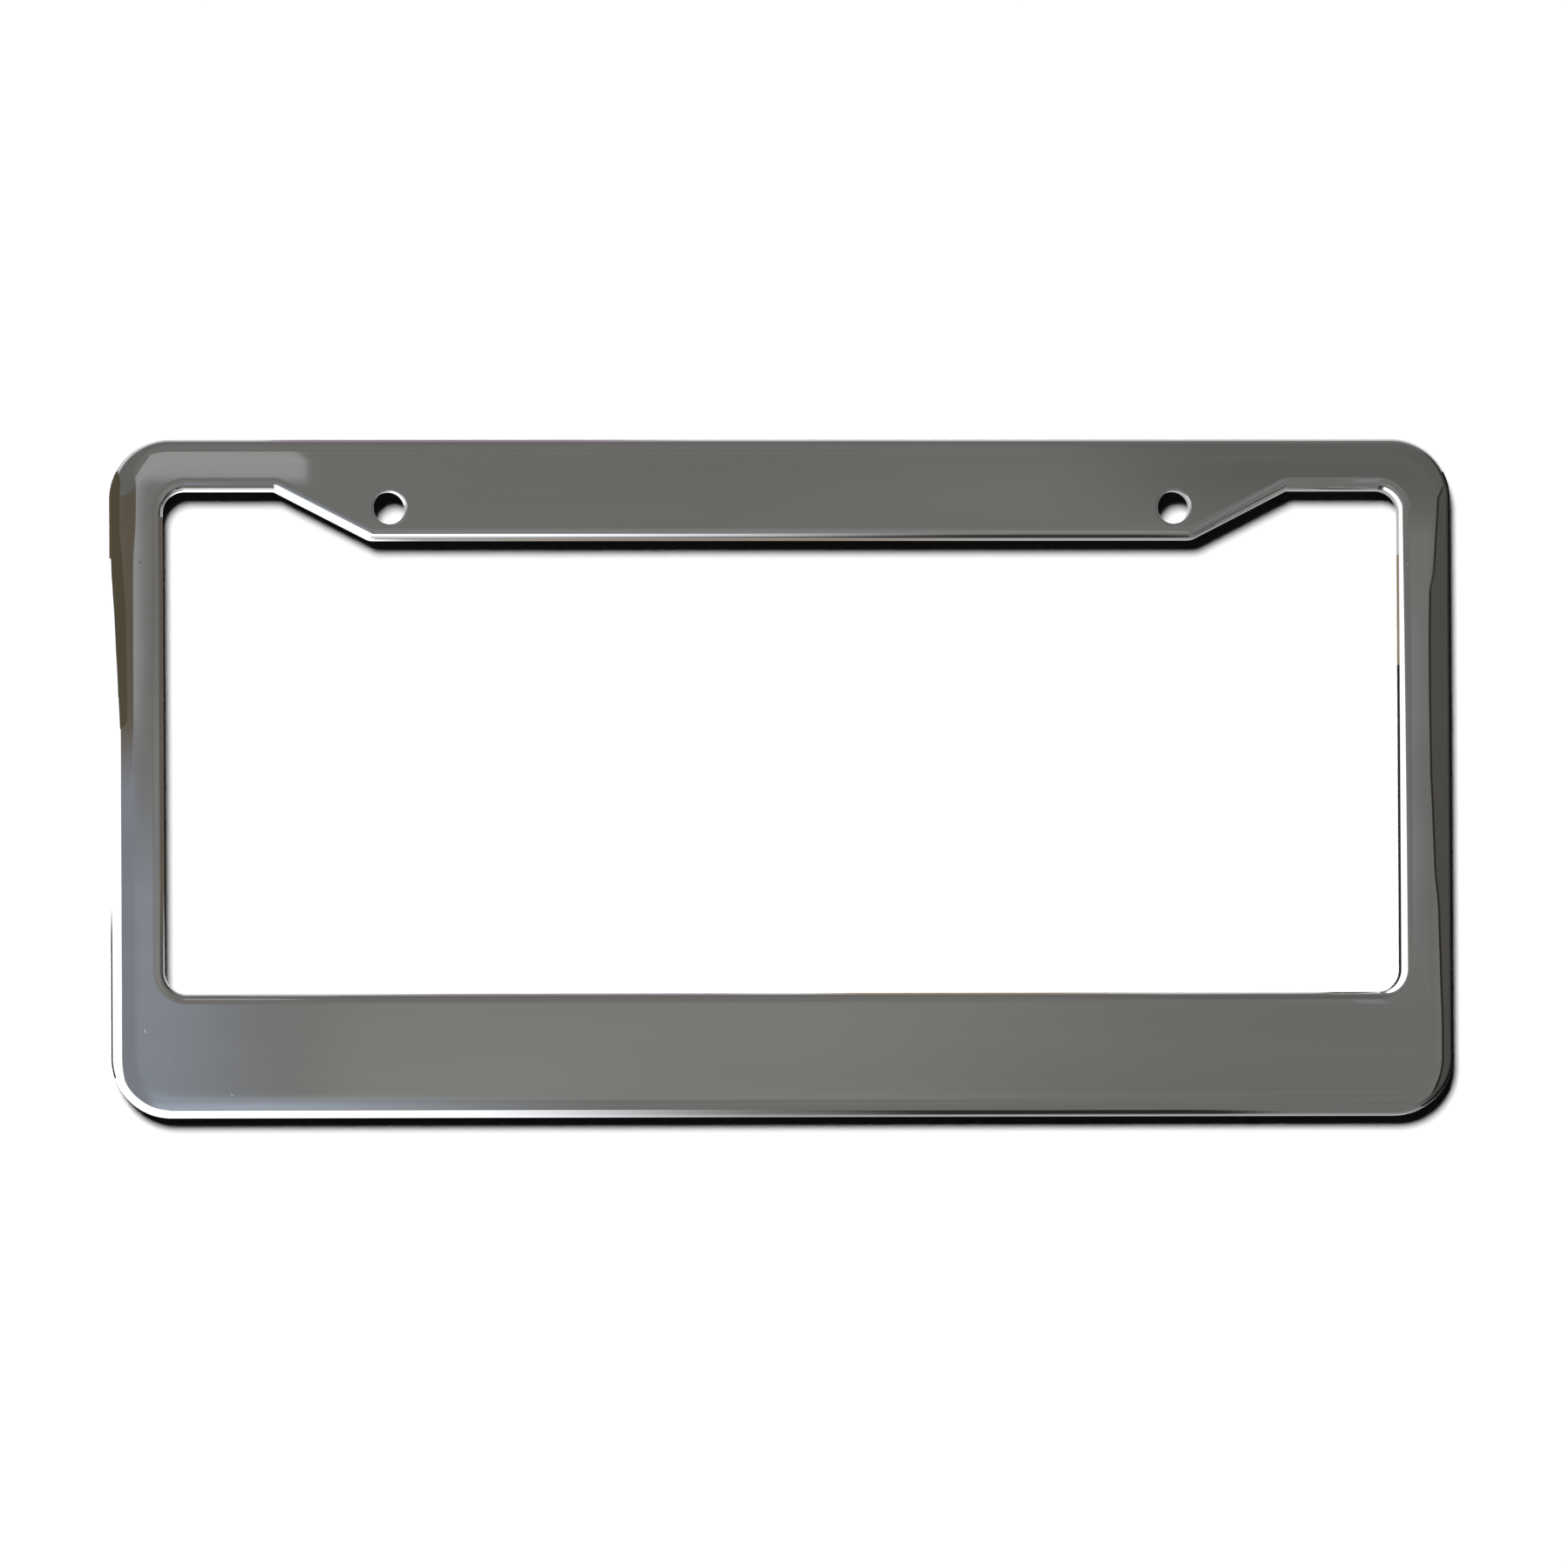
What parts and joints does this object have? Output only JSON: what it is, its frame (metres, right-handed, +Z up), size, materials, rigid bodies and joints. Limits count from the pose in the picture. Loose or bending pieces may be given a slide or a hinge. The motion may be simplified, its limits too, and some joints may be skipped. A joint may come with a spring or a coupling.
{
  "type": "number plate frame",
  "caption": "Slim chrome number plate frame with rolled edges, a deeper bottom bar, a stepped top bar and screw holes.",
  "frame": {"origin": "midway between the two screw holes, on the plane where the frame meets the plate", "axes": "+X across the plate, +Y back into the car, +Z up, so the face looks along -Y"},
  "size_m": [0.304, 0.006, 0.1532],
  "materials": {
    "chrome_plating": "mirror-polished chrome plating on a zinc casting, duller in the hollow back"
  },
  "bodies": {
    "root": {"frame": "chrome_plating"}
  },
  "joints": []
}
